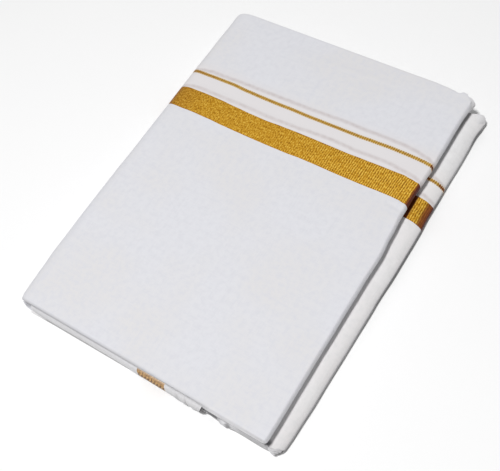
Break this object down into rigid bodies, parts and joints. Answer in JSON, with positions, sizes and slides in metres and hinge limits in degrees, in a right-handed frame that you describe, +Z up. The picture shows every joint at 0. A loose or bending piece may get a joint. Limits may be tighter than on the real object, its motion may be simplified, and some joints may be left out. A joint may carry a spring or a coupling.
{
  "type": "folded dhoti",
  "caption": "White cotton dhoti with a woven gold border, folded flat into a rectangular packet that lies on a surface.",
  "frame": {"origin": "centre of the packet's footprint, on the surface that it lies on", "axes": "+X from the spine fold to the side where the two halves lie open, +Y from the front folds to the back folds, along the packet's long side, +Z up through the layers"},
  "size_m": [0.2438, 0.321, 0.0254],
  "materials": {
    "white_cotton": "fine plain weave, matt",
    "inner_cotton": "fine plain weave, matt",
    "gold_zari": "ribbed metallic thread, satin"
  },
  "bodies": {
    "root": {"hidden_layers": "inner_cotton", "upper_cloth_front": "white_cotton", "upper_zari_band": "gold_zari", "upper_cloth_between": "white_cotton", "upper_zari_line": "gold_zari", "upper_cloth_back": "white_cotton", "lower_cloth_front": "white_cotton", "lower_zari_band": "gold_zari", "lower_cloth_between": "white_cotton", "lower_zari_line": "gold_zari", "lower_cloth_back": "white_cotton", "end_cloth_inner": "white_cotton", "end_zari_band": "gold_zari", "end_cloth_hem": "white_cotton"}
  },
  "joints": []
}
